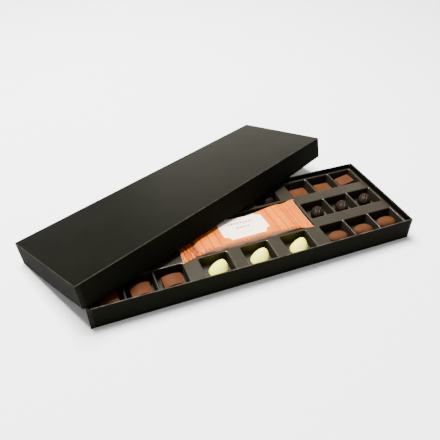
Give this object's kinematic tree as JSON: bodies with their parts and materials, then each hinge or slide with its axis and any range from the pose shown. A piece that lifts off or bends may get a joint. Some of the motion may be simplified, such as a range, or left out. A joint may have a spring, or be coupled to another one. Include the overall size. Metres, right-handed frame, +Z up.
{
  "type": "box of chocolate pralines",
  "caption": "Flat black card gift box of chocolate pralines in a moulded insert, with a striped film pouch in the middle and its lid leaning askew on it.",
  "frame": {"origin": "centre of the base's underside, on the surface the box stands on", "axes": "+X along the base's length to the right, +Y to the base's back, +Z up out of the open base"},
  "size_m": [0.4625, 0.3011, 0.0588],
  "materials": {
    "black_card": "satin black paper on rigid card",
    "black_plastic": "satin thermoformed sheet",
    "printed_film": "soft gloss film with orange stripes and a plain white plaque",
    "milk_chocolate": "satin milk chocolate",
    "dark_chocolate": "satin dark chocolate",
    "white_chocolate": "satin white chocolate"
  },
  "bodies": {
    "root": {"base_box": "black_card", "lid": "black_card", "insert": "black_plastic", "pouch": "printed_film", "milk_log_left_front_1": "milk_chocolate", "milk_log_left_front_2": "milk_chocolate", "milk_log_left_front_3": "milk_chocolate", "dark_ridged_left_middle_1": "dark_chocolate", "dark_ridged_left_middle_2": "dark_chocolate", "dark_ridged_left_middle_3": "dark_chocolate", "milk_oval_left_back_1": "milk_chocolate", "milk_oval_left_back_2": "milk_chocolate", "milk_oval_left_back_3": "milk_chocolate", "white_egg_centre_front_1": "white_chocolate", "white_egg_centre_front_2": "white_chocolate", "white_egg_centre_front_3": "white_chocolate", "dark_round_centre_back_1": "dark_chocolate", "dark_round_centre_back_2": "dark_chocolate", "dark_round_centre_back_3": "dark_chocolate", "milk_oval_right_front_1": "milk_chocolate", "milk_oval_right_front_2": "milk_chocolate", "milk_oval_right_front_3": "milk_chocolate", "dark_ridged_right_middle_1": "dark_chocolate", "dark_ridged_right_middle_2": "dark_chocolate", "dark_ridged_right_middle_3": "dark_chocolate", "milk_block_right_back_1": "milk_chocolate", "milk_block_right_back_2": "milk_chocolate", "milk_block_right_back_3": "milk_chocolate"}
  },
  "joints": []
}
